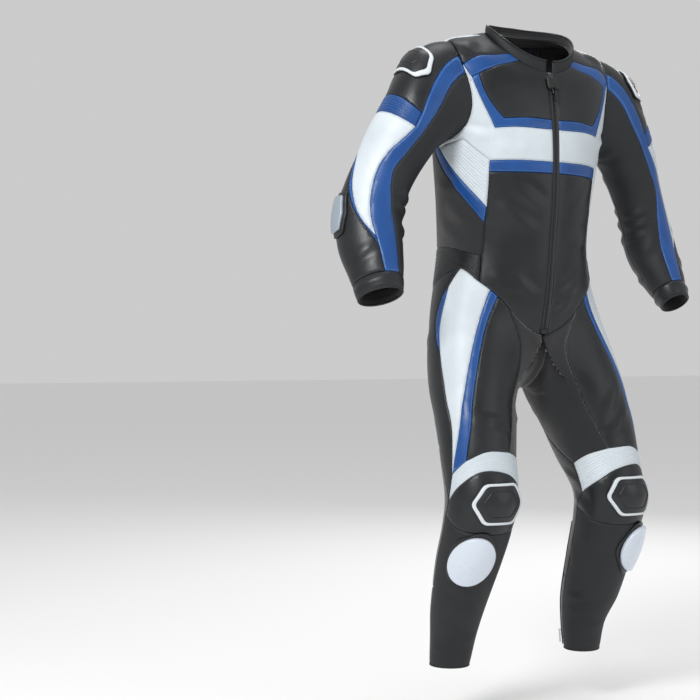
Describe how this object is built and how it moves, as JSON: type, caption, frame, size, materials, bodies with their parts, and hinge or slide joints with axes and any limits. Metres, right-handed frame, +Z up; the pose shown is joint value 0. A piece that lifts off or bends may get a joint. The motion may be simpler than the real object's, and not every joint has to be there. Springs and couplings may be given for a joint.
{
  "type": "motorcycle race suit",
  "caption": "One-piece leather motorcycle race suit, filled as if worn, with stretch panels, accordion pleats, hard cups, knee sliders and zips.",
  "frame": {"origin": "base of the neck, on the wearer's centre plane, where the shoulders carry the suit", "axes": "+Z up along the wearer, the front of the suit faces -Y, the wearer's left is +X"},
  "size_m": [0.8778, 0.3498, 1.3431],
  "materials": {
    "black_leather": "semi-gloss grained leather",
    "blue_leather": "semi-gloss grained leather",
    "white_leather": "semi-gloss grained leather",
    "stretch_cloth": "matte ribbed stretch cloth",
    "black_plastic": "satin moulded cup",
    "pale_plastic": "pearl slider",
    "silver_plastic": "silver rim",
    "dark_metal": "satin",
    "silver_metal": "satin"
  },
  "bodies": {
    "suit": {"spine": "black_leather", "lumbar": "black_leather", "lumbar_accordion": "black_leather", "collar": "black_leather", "front_zip": "dark_metal", "chest_upper_left": "black_leather", "chest_upper_right": "black_leather", "yoke_left": "blue_leather", "yoke_right": "blue_leather", "chest_left": "white_leather", "chest_right": "white_leather", "chest_accordion_left": "white_leather", "chest_accordion_right": "white_leather", "front_left": "black_leather", "front_right": "black_leather", "side_left": "stretch_cloth", "side_right": "stretch_cloth", "shoulder_accordion_left": "white_leather", "shoulder_accordion_right": "white_leather", "back_band_left": "blue_leather", "back_band_right": "blue_leather", "spine_band_left": "white_leather", "spine_band_right": "white_leather", "back_left": "black_leather", "back_right": "black_leather", "sleeve_upper_left": "black_leather", "sleeve_upper_right": "black_leather", "sleeve_accordion_left": "blue_leather", "sleeve_accordion_right": "blue_leather", "sleeve_white_left": "white_leather", "sleeve_white_right": "white_leather", "sleeve_stripe_left": "blue_leather", "sleeve_stripe_right": "blue_leather", "sleeve_arm_left": "black_leather", "sleeve_arm_right": "black_leather", "thigh_white_left": "white_leather", "thigh_white_right": "white_leather", "thigh_front_left": "black_leather", "thigh_front_right": "black_leather", "leg_stretch_left": "stretch_cloth", "leg_stretch_right": "stretch_cloth", "seat_left": "black_leather", "seat_right": "black_leather", "knee_accordion_left": "white_leather", "knee_accordion_right": "white_leather", "shin_left": "black_leather", "shin_right": "black_leather", "shoulder_cup_left": "black_plastic", "shoulder_cup_right": "black_plastic", "elbow_cup_left": "silver_plastic", "elbow_cup_right": "silver_plastic", "knee_cup_left": "black_plastic", "knee_cup_right": "black_plastic", "knee_puck_left": "pale_plastic", "knee_puck_right": "pale_plastic", "ankle_zip_left": "silver_metal", "ankle_zip_right": "silver_metal"},
    "front_pull": {"front_zip_pull": "dark_metal"},
    "left_ankle_pull": {"ankle_zip_pull_left": "silver_metal"},
    "right_ankle_pull": {"ankle_zip_pull_right": "silver_metal"}
  },
  "joints": [
    {"name": "front_zip_pull_hinge", "type": "hinge", "parent": "suit", "child": "front_pull", "pos_m": [0, -0.13638, -0.09233], "axis": [-1, 0, 0], "range_deg": [0, 150]},
    {"name": "left_ankle_zip_pull_hinge", "type": "hinge", "parent": "suit", "child": "left_ankle_pull", "pos_m": [0.13917, 0.03004, -1.24545], "axis": [0.7633, 0.6461, 0], "range_deg": [0, 150]},
    {"name": "right_ankle_zip_pull_hinge", "type": "hinge", "parent": "suit", "child": "right_ankle_pull", "pos_m": [-0.13917, 0.03004, -1.24545], "axis": [0.7633, -0.6461, 0], "range_deg": [0, 150]}
  ]
}
